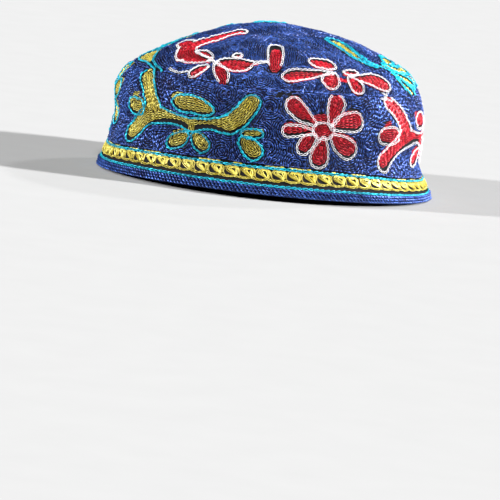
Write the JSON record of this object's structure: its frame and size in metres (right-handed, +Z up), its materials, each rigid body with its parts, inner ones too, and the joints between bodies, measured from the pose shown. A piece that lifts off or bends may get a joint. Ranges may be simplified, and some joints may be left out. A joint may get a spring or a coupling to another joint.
{
  "type": "bukharian kippah",
  "caption": "Round embroidered cloth skullcap with a domed crown, an upright side wall and a flared border; covers the head.",
  "frame": {"origin": "centre of the cap's footprint, on the surface that the rim rests on", "axes": "+Z up through the crown, -Y towards the side that the picture shows, +X to that view's right"},
  "size_m": [0.1857, 0.1856, 0.088],
  "materials": {
    "crown": "silky chain-stitch embroidery",
    "side_wall": "silky chain-stitch embroidery",
    "border_band": "corded chain-stitch embroidery"
  },
  "bodies": {
    "root": {"crown": "crown", "side_wall": "side_wall", "border_band": "border_band"}
  },
  "joints": []
}
